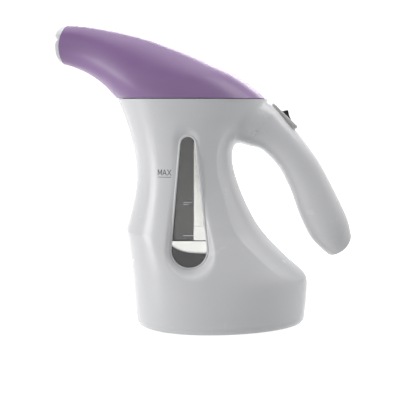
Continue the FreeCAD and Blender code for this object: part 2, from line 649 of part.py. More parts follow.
def build_cord_inlet():
    facing = math.radians(HANDLE_END_TILT)
    out = V(math.cos(facing), 0, math.sin(facing))
    middle = V(HANDLE_END[0], 0, HANDLE_END[1])
    bush = cylinder(GLAND_R, GLAND_OUT - GLAND_IN, middle + out * GLAND_IN, out)
    bush = bush.fuse(cylinder(7.6, 2.0, middle - out * 3.6, out))
    bush = bush.cut(cylinder(GLAND_BORE, 40, middle - out * 20, out))
    export("cord_gland", bush.removeSplitter())
    mouth, inner = middle + out * GLAND_OUT, middle + out * GLAND_IN
    print("gland mouth %.3f %.3f inner %.3f %.3f" % (mouth.x, mouth.z, inner.x, inner.z))

    tab_low, tab_high = frame_point(ROCKER_AT + 4, 0, -26.8), frame_point(ROCKER_AT - 4, 0, -26.8)
    pin_x, pin_y, pin_z = TANK_X + 18.5 * math.cos(math.radians(30)), 9.25, 32.8
    handle = [V(x, -3.0, z) for x, z in HANDLE_PATH]
    handle[0].y = -1.6
    export("live_lead", lead(handle + [V(49.0, -2.0, 148.0), V(tab_low.x, 0, tab_low.z)]))
    trunk = [V(x, -4.0, z) for x, z in TRUNK_PATH]
    first = [V(tab_high.x, 0, tab_high.z), V(28.0, -2.0, 165.6)]
    export("switched_lead", lead(first + trunk + [V(pin_x, -pin_y, pin_z)]))
    outward = [V(x, 3.0, z) for x, z in HANDLE_PATH]
    outward[0].y = 1.6
    inward = [V(x, 4.0, z) for x, z in TRUNK_PATH]
    joining = [V(50.0, 6.0, 146.0), V(39.0, 8.5, 156.5), V(29.0, 8.0, 165.0)]
    export("neutral_lead", lead(outward + joining + inward + [V(pin_x, pin_y, pin_z)]))


# ---- head -----------------------------------------------------------------------------------
def build_head():
    outer = head_volume().cut(mouth_cutter(0.0))
    foot = prism(head_wire(HEAD[0], HEAD_WALL), V(0, 0, 1.0)).translated(V(0, 0, -0.9))
    cover = outer.cut(head_volume(HEAD_WALL).fuse(foot))
    export("head_cover", cover.removeSplitter())

    base_z = HEAD_PIVOT[1]
    lid = prism(head_wire(HEAD[0], HEAD_WALL + 2.6), V(0, 0, 2.2))
    plug = cylinder(PLUG_R, 18.4, V(TANK_X, 0, base_z - 18.4), V(0, 0, 1))
    hollow = cylinder(PLUG_R - 2.0, 16.6, V(TANK_X, 0, base_z - 18.5), V(0, 0, 1))
    steam_hole = cylinder(7.0, 20, V(TANK_X, 0, base_z - 10), V(0, 0, 1))
    lid = lid.fuse(plug).cut(hollow).cut(steam_hole)
    spots = [(-66.0, 0.0), (-4.0, 22.0), (-4.0, -22.0)]
    for x, y in spots:
        lid = lid.cut(cylinder(1.7, 10, V(x, y, base_z - 2), V(0, 0, 1)))
        lid = lid.cut(cylinder(3.1, 1.0, V(x, y, base_z), V(0, 0, 1)))
    export("head_plate", lid.removeSplitter())
    screws = [screw(V(x, y, base_z + 1.0), V(0, 0, 1), 7.0, 2.8, 1.4, 0.9) for x, y in spots]
    export("head_screws", Part.makeCompound(screws))

    guard = cylinder(PLUG_R - 2.2, 1.6, V(TANK_X, 0, base_z - 16.4), V(0, 0, 1))
    for i in range(8):
        a = 2 * math.pi * i / 8
        spot = V(TANK_X + 15 * math.cos(a), 15 * math.sin(a), base_z - 20)
        guard = guard.cut(cylinder(2.4, 10, spot, V(0, 0, 1)))
    export("splash_guard", guard)


DUCT_R, DUCT_WALL = 9.0, 1.6
DUCT_PATH = [(-31.0, 193.2), (-33.0, 203.0), (-43.0, 212.6), (-60.0, 219.6), (-78.0, 223.6), (-98.0, 228.6),
             (-118.6, 233.6)]


def build_nozzle():
    centre, out = mouth_frame()
    back = -7.0
    keep = mouth_cutter(back)
    block = head_volume(HEAD_WALL + FIT).common(keep).cut(mouth_cutter(CAP_OUT))
    hollow = head_volume(HEAD_WALL + FIT + 1.8).common(mouth_cutter(back - 1.0))
    hollow = hollow.cut(mouth_cutter(CAP_OUT - 2.0))
    plate = block.cut(hollow)
    up = V(-out.z, 0, out.x) * -1.0
    front = CAP_OUT + MOUTH_BULGE
    groove = centre + out * (front + 1.4) + up * 5.2
    plate = plate.cut(cylinder(3.0, 60, V(groove.x, -30, groove.z), V(0, 1, 0)))
    for along, across in [(-8, 0), (-4, 6), (-4, -6), (-1, 0), (1, 9), (1, -9), (9.4, 4.5), (9.4, -4.5)]:
        spot = centre + up * along + V(0, across, 0)
        plate = plate.cut(cylinder(1.1, 12, spot, out))
    export("nozzle_plate", plate.removeSplitter())

    path = [V(x, 0, z) for x, z in DUCT_PATH]
    curve = Part.BSplineCurve()
    curve.interpolate(Points=path)
    tubes = []
    for radius in (DUCT_R, DUCT_R - DUCT_WALL):
        rings = []
        for point in path:
            tangent = curve.tangent(curve.parameter(point))[0]
            rings.append(Part.Wire(Part.Circle(point, tangent, radius).toShape()))
        tubes.append(loft(rings))
    duct = tubes[0].cut(tubes[1])
    floor = Part.makeBox(60, 60, 20, V(TANK_X - 30, -30, HEAD_PIVOT[1] + 2.2 - 20))
    export("steam_duct", duct.cut(floor))


build_housing()
build_windows()
build_tank()
build_deck()
build_heater()
build_base()
build_housing_screws()
build_switch()
build_cord_inlet()
build_head()
build_nozzle()
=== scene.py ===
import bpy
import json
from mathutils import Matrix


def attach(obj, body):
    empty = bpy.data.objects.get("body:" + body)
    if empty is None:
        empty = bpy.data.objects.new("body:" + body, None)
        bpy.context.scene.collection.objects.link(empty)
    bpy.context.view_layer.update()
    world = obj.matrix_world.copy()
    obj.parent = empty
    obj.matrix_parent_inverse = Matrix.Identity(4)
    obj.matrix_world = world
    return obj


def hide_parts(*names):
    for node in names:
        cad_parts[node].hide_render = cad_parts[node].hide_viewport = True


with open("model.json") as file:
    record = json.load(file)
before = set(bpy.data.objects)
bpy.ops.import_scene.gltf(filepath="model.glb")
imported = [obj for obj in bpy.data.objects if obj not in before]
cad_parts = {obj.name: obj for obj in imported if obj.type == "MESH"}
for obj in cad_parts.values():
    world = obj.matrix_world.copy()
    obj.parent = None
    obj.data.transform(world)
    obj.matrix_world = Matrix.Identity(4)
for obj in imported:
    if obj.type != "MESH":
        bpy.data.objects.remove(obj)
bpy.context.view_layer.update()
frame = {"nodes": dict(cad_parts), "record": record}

import json
import math

import bpy
import numpy as np
from mathutils import Matrix, Vector

MM = 0.001

# ---- dimensions, in millimetres ---------------------------------------------------------------
SEAM_Z, HEAD_Z = 190.4, 190.8
RIM_Z = 1.4
WALL, HEAD_WALL = 2.2, 2.0
PARTING = 0.12
SEAM_SHOWN = 0.3        # the head's edge stands this much higher than its CAD plane

# Body by height: z, front x, rear x, half width, x of the widest point, front and rear fullness.
BODY = [
    (1.4, -70.2, 70.2, 50.2, -10.0, 0.13, -0.07),
    (4.0, -71.8, 72.0, 51.8, -10.0, 0.13, -0.07),
    (8.0, -72.6, 72.8, 52.2, -10.0, 0.13, -0.07),
    (16.0, -73.4, 73.6, 52.3, -10.6, 0.13, -0.07),
    (26.0, -74.2, 74.3, 52.2, -11.3, 0.13, -0.07),
    (35.0, -75.0, 74.5, 51.8, -12.0, 0.13, -0.07),
    (41.0, -75.5, 73.1, 51.3, -13.0, 0.13, -0.07),
    (47.5, -76.1, 67.4, 50.6, -15.0, 0.13, -0.07),
    (54.0, -76.7, 59.8, 49.6, -17.0, 0.13, -0.06),
    (61.0, -77.5, 52.2, 48.2, -19.2, 0.13, -0.04),
    (68.0, -78.4, 45.3, 46.7, -21.0, 0.13, -0.02),
    (74.0, -79.4, 39.8, 45.3, -22.6, 0.13, 0.0),
    (80.0, -80.3, 34.9, 43.7, -24.1, 0.13, 0.02),
    (85.5, -78.6, 31.0, 42.5, -25.4, 0.13, 0.06),
    (92.0, -76.7, 27.1, 41.3, -26.8, 0.13, 0.07),
    (100.0, -74.6, 23.0, 40.0, -28.3, 0.13, 0.1),
    (109.0, -72.6, 18.8, 38.8, -29.6, 0.13, 0.12),
    (118.0, -71.2, 15.2, 38.0, -30.5, 0.13, 0.12),
    (127.0, -70.8, 12.2, 37.6, -31.1, 0.13, 0.12),
    (136.0, -71.2, 10.1, 37.5, -31.8, 0.13, 0.12),
    (145.0, -72.3, 9.7, 37.6, -32.0, 0.13, 0.12),
    (154.0, -74.1, 12.0, 38.0, -32.0, 0.13, 0.1),
    (163.0, -76.3, 17.2, 38.5, -32.3, 0.13, 0.05),
    (172.0, -79.1, 24.7, 39.2, -33.1, 0.13, 0.0),
    (181.0, -82.4, 32.1, 40.0, -34.0, 0.13, 0.0),
    (190.4, -86.4, 37.2, 41.0, -34.4, 0.13, 0.0),
]
BELLY = 12              # the row of the crease round the belly's front

# Handle from its root to its end: inner x and z, outer x and z, half width.
HANDLE = [
    (13.0, 154.8, 30.0, 191.8, 23.0),
    (25.0, 151.0, 44.6, 185.6, 20.0),
    (33.2, 148.9, 54.0, 175.2, 18.2),
    (41.7, 142.1, 63.6, 163.8, 17.0),
    (50.2, 131.9, 74.1, 150.4, 16.4),
    (55.6, 121.8, 82.5, 138.5, 16.0),
    (60.5, 111.3, 89.9, 125.6, 16.0),
    (65.1, 97.9, 97.7, 110.8, 16.3),
    (70.3, 85.8, 103.8, 98.8, 16.4),
    (76.0, 74.8, 107.6, 90.3, 16.0),
    (82.6, 66.8, 109.6, 84.0, 15.0),
    (90.0, 60.2, 111.0, 78.0, 12.9),
    (98.0, 55.0, 112.8, 68.4, 9.6),
]
END_AT, END_TILT, END_BULGE, END_HALF = (103.2, 66.3), -47.0, 2.4, 11.3

# Head on planes fanned about a line under the nozzle: angle, radius of the underside,
# radius of the top, half width, share of the way to the widest point, fullness.
PIVOT = (-134.1, HEAD_Z)
HEAD = [
    (0.0, 47.6, 171.4, 41.0, 0.42, 0.07),
    (3.0, 45.3, 162.0, 41.0, 0.42, 0.07),
    (7.0, 42.9, 149.2, 40.4, 0.42, 0.07),
    (12.5, 40.4, 130.6, 38.2, 0.43, 0.07),
    (19.0, 37.6, 113.6, 34.6, 0.44, 0.07),
    (27.0, 34.8, 98.2, 30.2, 0.45, 0.07),
    (36.0, 32.3, 85.6, 26.0, 0.46, 0.07),
    (47.0, 30.1, 74.4, 21.8, 0.47, 0.04),
    (60.0, 28.6, 66.5, 18.4, 0.48, 0.0),
    (72.0, 28.2, 62.6, 16.4, 0.49, 0.0),
    (98.0, 29.3, 59.2, 15.0, 0.50, 0.0),
]
MOUTH_ANGLE, MOUTH_R, MOUTH_BULGE, MOUTH_HALF = 83.3, 44.5, 3.7, 16.0

WINDOW_TOP = (-27.2, 154.6, 5.8)
WINDOW_BOTTOM = (-26.2, 68.6, 14.4)
WINDOW_Y, WINDOW_TILT = 36.2, 1.2
RECESS_LAND, RECESS_REACH = 1.8, 7.0     # flat border of the window, and the slope beyond it

# Crease on the body beside the finger opening: x and z.
CREASE = [(6.0, 168.0), (-1.5, 156.0), (-4.0, 141.5), (-3.0, 128.0), (0.6, 115.0), (8.0, 89.0), (14.0, 79.0),
          (22.6, 68.6), (42.6, 50.0), (56.0, 40.0)]


# ---- small maths ------------------------------------------------------------------------------
class Spline:
    """Natural cubic spline through rows of numbers; beyond its ends it goes on straight."""

    def __init__(self, at, rows):
        x, y = np.asarray(at, float), np.asarray(rows, float)
        n, h = len(x), np.diff(x)
        left, right = np.eye(n), np.zeros_like(y)
        for i in range(1, n - 1):
            left[i, i - 1:i + 2] = h[i - 1], 2 * (h[i - 1] + h[i]), h[i]
            right[i] = 6 * ((y[i + 1] - y[i]) / h[i] - (y[i] - y[i - 1]) / h[i - 1])
        self.x, self.y, self.m, self.h = x, y, np.linalg.solve(left, right), h

    def __call__(self, t):
        t = np.asarray(t, float)
        c = np.clip(t, self.x[0], self.x[-1])
        i = np.clip(np.searchsorted(self.x, c, side="right") - 1, 0, len(self.h) - 1)
        h = self.h[i][..., None] if self.y.ndim > 1 else self.h[i]
        a, b = self.x[i + 1] - c, c - self.x[i]
        over = t - c
        if self.y.ndim > 1:
            a, b, over = a[..., None], b[..., None], over[..., None]
        m0, m1, y0, y1 = self.m[i], self.m[i + 1], self.y[i], self.y[i + 1]
        value = (m0 * a**3 + m1 * b**3) / (6 * h) + (y0 / h - m0 * h / 6) * a + (y1 / h - m1 * h / 6) * b
        slope = (m1 * b**2 - m0 * a**2) / (2 * h) - (y0 / h - m0 * h / 6) + (y1 / h - m1 * h / 6)
        return value + slope * over


def step(t):
    t = np.clip(t, 0, 1)
    return t * t * (3 - 2 * t)


def smin(a, b, k):
    h = np.clip(k - np.abs(a - b), 0, None) / k
    return np.minimum(a, b) - h**3 * k / 6


def smax(a, b, k):
    return -smin(-a, -b, k)


def dense(points, count=120):
    """A smooth polyline through (x, z) points."""
    points = np.asarray(points, float)
    at = np.arange(len(points))
    return Spline(at, points)(np.linspace(0, len(points) - 1, count))


def beside(x, z, line):
    """Distance from a polyline, positive on its left, and the share of the way along it."""
    x, z = np.broadcast_arrays(x, z)
    a, d = line[:-1], np.diff(line, axis=0)
    px, pz = x[..., None] - a[:, 0], z[..., None] - a[:, 1]
    t = np.clip((px * d[:, 0] + pz * d[:, 1]) / (d**2).sum(1), 0, 1)
    px, pz = px - t * d[:, 0], pz - t * d[:, 1]
    far = px**2 + pz**2
    i = np.argmin(far, -1)[..., None]

    def pick(v):
        return np.take_along_axis(v, i, -1)[..., 0]

    side = np.sign(pick(px * -d[:, 1] + pz * d[:, 0]))
    return np.sqrt(pick(far)) * side, (i[..., 0] + pick(t)) / len(a)


def extended(line, before, after):
    head, tail = line[0] - line[1], line[-1] - line[-2]
    head, tail = head / np.linalg.norm(head), tail / np.linalg.norm(tail)
    return np.vstack([line[0] + head * before, line, line[-1] + tail * after])


# ---- the body as a distance field -------------------------------------------------------------
def body_rows():
    rows = np.array(BODY)
    low, high = rows[:BELLY + 1], rows[BELLY:]
    return Spline(rows[:, 0], rows[:, 1:]), Spline(low[:, 0], low[:, 1]), Spline(high[:, 0], high[:, 1])


BODY_ALL, FRONT_LOW, FRONT_HIGH = body_rows()
HANDLE_ROWS = np.array(HANDLE)
INNER = extended(dense(HANDLE_ROWS[:, 0:2]), 60, 40)
OUTER = extended(dense(HANDLE_ROWS[:, 2:4]), 60, 40)
HANDLE_WIDTH = Spline(np.linspace(0, 1, len(HANDLE)), HANDLE_ROWS[:, 4])
CREASE_LINE = dense(CREASE)


def egg(along, across, low, widest, high, half, k_low, k_high, soft):
    """Signed distance, measured along the ray from the widest point, to an egg-shaped section."""
    d = along - widest
    s = step(d / (2 * soft) + 0.5)
    u = d * ((1 - s) / (widest - low) + s / (high - widest))
    k = k_low + (k_high - k_low) * s
    v = across / (half * (1 + k * np.minimum(u * u, 1.6)))
    q = np.sqrt(u * u + v * v) + 1e-9
    rho = np.sqrt(d * d + across * across)
    return rho - rho / q


def trunk_field(x, y, z):
    p = BODY_ALL(z)
    front_low, front_high = FRONT_LOW(z), FRONT_HIGH(z)
    front = smax(front_low, front_high, 0.6)
    front = np.where(z < BODY[0][0] + 30, front_low, np.where(z > 120, front_high, front))
    return egg(x, y, front, p[..., 3], p[..., 1], p[..., 2], p[..., 4], p[..., 5], 18.0)


def handle_field(x, y, z):
    inner, s_in = beside(x, z, INNER)
    outer, s_out = beside(x, z, OUTER)
    outer = -outer
    half = np.maximum((inner + outer) / 2, 3.0)
    t = (inner - outer) / 2 / half
    width = HANDLE_WIDTH((s_in + s_out) / 2)
    v = y / (width * (1 + 0.1 * np.minimum(t * t, 1.4)))
    q = np.sqrt(t * t + v * v) + 1e-9
    rho = np.sqrt((t * half)**2 + y * y)
    tube = rho - rho / q
    a = math.radians(END_TILT)
    out = (x - END_AT[0]) * math.cos(a) + (z - END_AT[1]) * math.sin(a)
    off = -(x - END_AT[0]) * math.sin(a) + (z - END_AT[1]) * math.cos(a)
    end = out - END_BULGE * (1 - np.clip(np.abs(off) / END_HALF, 0, 1.8)**2)
    return np.maximum(smax(tube, end, 1.0), 6.0 - x)


def teardrop(x, z):
    """Signed distance to the window's outline, negative inside."""
    x1, z1, r1 = WINDOW_TOP
    x2, z2, r2 = WINDOW_BOTTOM
    length = math.hypot(x2 - x1, z2 - z1)
    dx, dz = (x2 - x1) / length, (z2 - z1) / length
    along = (x - x1) * dx + (z - z1) * dz
    across = np.abs(-(x - x1) * dz + (z - z1) * dx)
    lean = (r1 - r2) / length
    flat = math.sqrt(1 - lean * lean)
    k = across * -lean + along * flat
    top = np.sqrt(across**2 + along**2) - r1
    bottom = np.sqrt(across**2 + (along - length)**2) - r2
    side = across * flat + along * lean - r1
    return np.where(k < 0, top, np.where(k > length * flat, bottom, side))


def window_face(z):
    return WINDOW_Y + (WINDOW_TOP[1] - z) * math.tan(math.radians(WINDOW_TILT))


def recess_field(x, y, z):
    """The scoop round the window: steep beside it and rolling off into the flank."""
    depth = np.abs(y) - window_face(z)
    full = np.maximum(BODY_ALL(z)[..., 2] - window_face(z), 0.8)
    reach = RECESS_LAND + RECESS_REACH * (1 - np.sqrt(np.clip(1 - depth / full, 0, 1)))
    wall = (teardrop(x, z) - reach) * 0.7
    return smax(wall, -depth, 2.0)


def where_near(test, field, x, y, z, far):
    """The field at the points that pass the test, and a plain number elsewhere."""
    if x.ndim != 1:
        return field(x, y, z)
    value = np.full(len(x), far)
    value[test] = field(x[test], y[test], z[test])
    return value


def body_field(x, y, z):
    f = trunk_field(x, y, z)
    f = smin(f, where_near((x > -12) & (z > 45), handle_field, x, y, z, 60.0), 10.0)
    ridge = where_near((x > -26) & (x < 70) & (z > 30), crease_field, x, y, z, 0.0)
    return smax(f - ridge, -recess_field(x, y, z), 2.6)


def crease_field(x, y, z):
    c, s = beside(x, z, CREASE_LINE)
    fade = step(s / 0.16) * step((1 - s) / 0.2)
    wide = np.where(c < 0, 7.0, 5.0)
    return 1.2 * fade * np.exp(-(np.sqrt(c * c + 0.16) - 0.4) / wide)


def head_field(x, y, z):
    dx, dz = x - PIVOT[0], z - PIVOT[1]
    a = np.degrees(np.arctan2(dz, np.maximum(dx, -30.0)))
    a = np.where(dx > 0, a, np.maximum(a, 90.0))
    r = np.sqrt(dx * dx + dz * dz)
    p = HEAD_ROWS(np.clip(a, -6, 112))
    low, high, share = p[..., 0], p[..., 1], p[..., 3]
    return egg(r, y, low, low + share * (high - low), high, p[..., 2], p[..., 4], p[..., 4], 9.0)


HEAD_ROWS = Spline([r[0] for r in HEAD], [r[1:] for r in HEAD])


# ---- surfaces from fields ---------------------------------------------------------------------
def gradient(field, p, e=0.05):
    g = np.zeros_like(p)
    for way in ((1, -1, -1), (-1, -1, 1), (-1, 1, -1), (1, 1, 1)):
        way = np.array(way, float)
        g += way * field(*(p + way * e).T)[:, None]
    return g / (4 * e)


def surface(field, low, high, pitch, rounds=3):
    """A triangle mesh of the field's zero surface, spread evenly and laid exactly on it."""
    axes = [np.arange(a, b + pitch, pitch) for a, b in zip(low, high)]
    grid = field(axes[0][:, None, None], axes[1][None, :, None], axes[2][None, None, :])
    inside = grid < 0
    n = np.array(grid.shape)
    total, count = np.zeros(tuple(n - 1) + (3,)), np.zeros(tuple(n - 1))
    crossings = []
    for axis in range(3):
        a = [slice(None)] * 3
        b = [slice(None)] * 3
        a[axis], b[axis] = slice(None, -1), slice(1, None)
        at = np.argwhere(inside[tuple(a)] != inside[tuple(b)])
        f0, f1 = grid[tuple(a)][tuple(at.T)], grid[tuple(b)][tuple(at.T)]
        point = at.astype(float)
        point[:, axis] += f0 / (f0 - f1)
        others = [i for i in range(3) if i != axis]
        for shift in ((0, 0), (1, 0), (0, 1), (1, 1)):
            cell = at.copy()
            cell[:, others[0]] -= shift[0]
            cell[:, others[1]] -= shift[1]
            ok = ((cell >= 0) & (cell < n - 1)).all(1)
            np.add.at(total, tuple(cell[ok].T), point[ok])
            np.add.at(count, tuple(cell[ok].T), 1)
        crossings.append((at, others))
    used = np.argwhere(count > 0)
    index = -np.ones(tuple(n - 1), int)
    index[tuple(used.T)] = np.arange(len(used))
    verts = total[tuple(used.T)] / count[tuple(used.T)][:, None]
    verts = verts * pitch + np.array([a[0] for a in axes])
    quads = []
    for at, others in crossings:
        ring = []
        for shift in ((0, 0), (1, 0), (1, 1), (0, 1)):
            cell = at.copy()
            cell[:, others[0]] -= shift[0]
            cell[:, others[1]] -= shift[1]
            ok = ((cell >= 0) & (cell < n - 1)).all(1)
            cell = np.clip(cell, 0, n - 2)
            ring.append(np.where(ok, index[tuple(cell.T)], -1))
        ring = np.stack(ring, 1)
        quads.append(ring[(ring >= 0).all(1)])
    quads = np.vstack(quads)
    for _ in range(rounds):
        total, count = np.zeros_like(verts), np.zeros(len(verts))
        for i in range(4):
            for j in (1, 3):
                np.add.at(total, quads[:, i], verts[quads[:, (i + j) % 4]])
                np.add.at(count, quads[:, i], 1)
        verts = 0.4 * verts + 0.6 * total / np.maximum(count, 1)[:, None]
        for _ in range(2):
            g = gradient(field, verts)
            verts -= g * (field(*verts.T) / np.maximum((g * g).sum(1), 0.05))[:, None]
    g = gradient(field, verts)
    normal = np.cross(verts[quads[:, 2]] - verts[quads[:, 0]], verts[quads[:, 3]] - verts[quads[:, 1]])
    flip = (normal * g[quads[:, 0]]).sum(1) < 0
    quads[flip] = quads[flip][:, ::-1]
    short = (verts[quads[:, 0]] - verts[quads[:, 2]])**2
    other = (verts[quads[:, 1]] - verts[quads[:, 3]])**2
    first = short.sum(1) <= other.sum(1)
    a, b = quads[first], quads[~first]
    tris = np.vstack([a[:, [0, 1, 2]], a[:, [0, 2, 3]], b[:, [0, 1, 3]], b[:, [1, 2, 3]]])
    return verts, tris


def clip(verts, tris, value):
    """Keeps the side where value is negative, with a clean edge on its zero line."""
    value = np.where(np.abs(value) < 1e-4, 0.0, value)
    keep = value <= 0
    count = keep[tris].sum(1)
    whole = tris[count == 3]
    base = len(verts)

    def rolled(rows, first):
        at = np.argmax(first[rows], 1)
        return np.stack([rows[np.arange(len(rows)), (at + i) % 3] for i in range(3)], 1)

    one, two = rolled(tris[count == 1], keep), rolled(tris[count == 2], ~keep)
    edges = np.vstack([one[:, [0, 1]], one[:, [0, 2]], two[:, [0, 1]], two[:, [0, 2]]])
    ends, where = np.unique(np.sort(edges, 1), axis=0, return_inverse=True)
    where = where.reshape(-1)
    f0, f1 = value[ends[:, 0]], value[ends[:, 1]]
    t = (f0 / (f0 - f1))[:, None]
    fresh = verts[ends[:, 0]] * (1 - t) + verts[ends[:, 1]] * t
    n1, n2 = len(one), len(two)
    ab1, ac1 = base + where[:n1], base + where[n1:2 * n1]
    ab2, ac2 = base + where[2 * n1:2 * n1 + n2], base + where[2 * n1 + n2:]
    tris = np.vstack([whole, np.stack([one[:, 0], ab1, ac1], 1), np.stack([ab2, two[:, 1], two[:, 2]], 1),
                      np.stack([ab2, two[:, 2], ac2], 1)])
    verts = np.vstack([verts, fresh])
    same = (tris[:, 0] == tris[:, 1]) | (tris[:, 1] == tris[:, 2]) | (tris[:, 0] == tris[:, 2])
    tris = tris[~same]
    used, tris = np.unique(tris, return_inverse=True)
    return verts[used], tris.reshape(-1, 3)


def new_object(name, verts, faces, loop_normals=None, smooth=True):
    mesh = bpy.data.meshes.new(name)
    verts = np.asarray(verts, float) * MM
    faces = [tuple(int(i) for i in f) for f in faces]
    mesh.from_pydata(verts.tolist(), [], faces)
    mesh.polygons.foreach_set("use_smooth", [smooth] * len(mesh.polygons))
    if loop_normals is not None:
        mesh.normals_split_custom_set(loop_normals.tolist())
    mesh.update()
    obj = bpy.data.objects.new(name, mesh)
    bpy.context.scene.collection.objects.link(obj)
    return obj


def shell(name, verts, tris, field, wall, mirror=False, low=-1e3, high=1e3):
    """A closed shell: the surface, a skin a wall's depth inside it and the rims between them."""
    g = gradient(field, verts)
    normal = g / np.linalg.norm(g, axis=1)[:, None]
    inner = verts - normal * wall
    inner[:, 2] = np.clip(inner[:, 2], low, high)
    n = len(verts)
    edges = np.vstack([tris[:, [0, 1]], tris[:, [1, 2]], tris[:, [2, 0]]])
    key = np.sort(edges, 1)
    _, where, times = np.unique(key, axis=0, return_inverse=True, return_counts=True)
    rim = edges[times[where.reshape(-1)] == 1]
    quads = np.stack([rim[:, 1], rim[:, 0], rim[:, 0] + n, rim[:, 1] + n], 1)
    points = np.vstack([verts, inner])
    across = np.cross(points[quads[:, 1]] - points[quads[:, 0]], points[quads[:, 3]] - points[quads[:, 0]])
    across /= np.maximum(np.linalg.norm(across, axis=1), 1e-9)[:, None]
    rear = tris[:, ::-1] + n
    loops = np.vstack([normal[tris.reshape(-1)], -normal[(rear - n).reshape(-1)], np.repeat(across, 4, 0)])
    faces = tris.tolist() + rear.tolist() + quads.tolist()
    if mirror:
        points = points * [1, -1, 1]
        faces = [f[::-1] for f in faces]
        loops = np.vstack([normal[tris[:, ::-1].reshape(-1)], -normal[tris.reshape(-1)],
                           np.repeat(across, 4, 0)]) * [1, -1, 1]
    return new_object(name, points, faces, loops)


# ---- materials --------------------------------------------------------------------------------
class Nodes:
    """A material's node tree, with Principled BSDF sockets set by name."""

    def __init__(self, name, **sockets):
        self.mat = bpy.data.materials.new(name)
        self.mat.use_nodes = True
        self.tree = self.mat.node_tree
        self.shader = self.tree.nodes["Principled BSDF"]
        for key, value in sockets.items():
            self.shader.inputs[key.replace("_", " ")].default_value = value
        self.place = self.add("ShaderNodeTexCoord").outputs["Object"]

    def add(self, kind, **settings):
        node = self.tree.nodes.new(kind)
        for key, value in settings.items():
            setattr(node, key, value)
        return node

    def link(self, a, b):
        self.tree.links.new(a, b)

    def noise(self, scale, detail=3.0, rough=0.5):
        node = self.add("ShaderNodeTexNoise")
        node.inputs["Scale"].default_value = scale
        node.inputs["Detail"].default_value = detail
        node.inputs["Roughness"].default_value = rough
        self.link(self.place, node.inputs["Vector"])
        return node.outputs["Fac"]

    def ramp(self, value, stops):
        node = self.add("ShaderNodeValToRGB")
        while len(node.color_ramp.elements) < len(stops):
            node.color_ramp.elements.new(0.5)
        for element, (at, colour) in zip(node.color_ramp.elements, stops):
            element.position = at
            element.color = colour if len(colour) == 4 else list(colour) + [1.0]
        self.link(value, node.inputs["Fac"])
        return node.outputs["Color"]

    def range(self, value, low, high, start=0.3, end=0.7):
        node = self.add("ShaderNodeMapRange")
        for key, number in (("From Min", start), ("From Max", end), ("To Min", low), ("To Max", high)):
            node.inputs[key].default_value = number
        self.link(value, node.inputs["Value"])
        return node.outputs["Result"]

    def bump(self, height, strength, distance):
        node = self.add("ShaderNodeBump")
        node.inputs["Strength"].default_value = strength
        node.inputs["Distance"].default_value = distance
        self.link(height, node.inputs["Height"])
        self.link(node.outputs["Normal"], self.shader.inputs["Normal"])

    def to(self, output, socket):
        self.link(output, self.shader.inputs[socket])


def shade(colour, k):
    return [min(1.0, c * k) for c in colour[:3]] + [1.0]


def moulded(name, colour, rough, grain=0.0004, depth=0.02, spread=0.03, **sockets):
    """Moulded plastic: slight drift of colour and gloss, and a fine surface grain."""
    n = Nodes(name, Roughness=rough, IOR=1.5, **sockets)
    tints = [(0.3, shade(colour, 1 - spread)), (0.7, shade(colour, 1 + spread))]
    n.to(n.ramp(n.noise(22.0, 3.0), tints), "Base Color")
    n.to(n.range(n.noise(60.0, 4.0), rough * 0.85, rough * 1.15), "Roughness")
    n.bump(n.noise(0.5 / grain, 2.0), depth, grain)
    return n.mat


def metal(name, colour, rough, streak=0.1):
    n = Nodes(name, Metallic=1.0, Roughness=rough)
    n.to(n.ramp(n.noise(90.0, 4.0), [(0.3, shade(colour, 0.93)), (0.7, shade(colour, 1.05))]), "Base Color")
    n.to(n.range(n.noise(240.0, 5.0), rough * (1 - streak), rough * (1 + streak)), "Roughness")
    n.bump(n.noise(1400.0, 2.0), 0.03, 0.0002)
    return n.mat


def clear(name, colour, rough, transmission=1.0, ior=1.49):
    n = Nodes(name, Roughness=rough, IOR=ior)
    n.shader.inputs["Transmission Weight"].default_value = transmission
    n.to(n.ramp(n.noise(30.0, 2.0), [(0.3, shade(colour, 0.99)), (0.7, shade(colour, 1.01))]), "Base Color")
    n.to(n.range(n.noise(80.0, 3.0), rough * 0.7, rough * 1.3 + 0.005), "Roughness")
    return n.mat


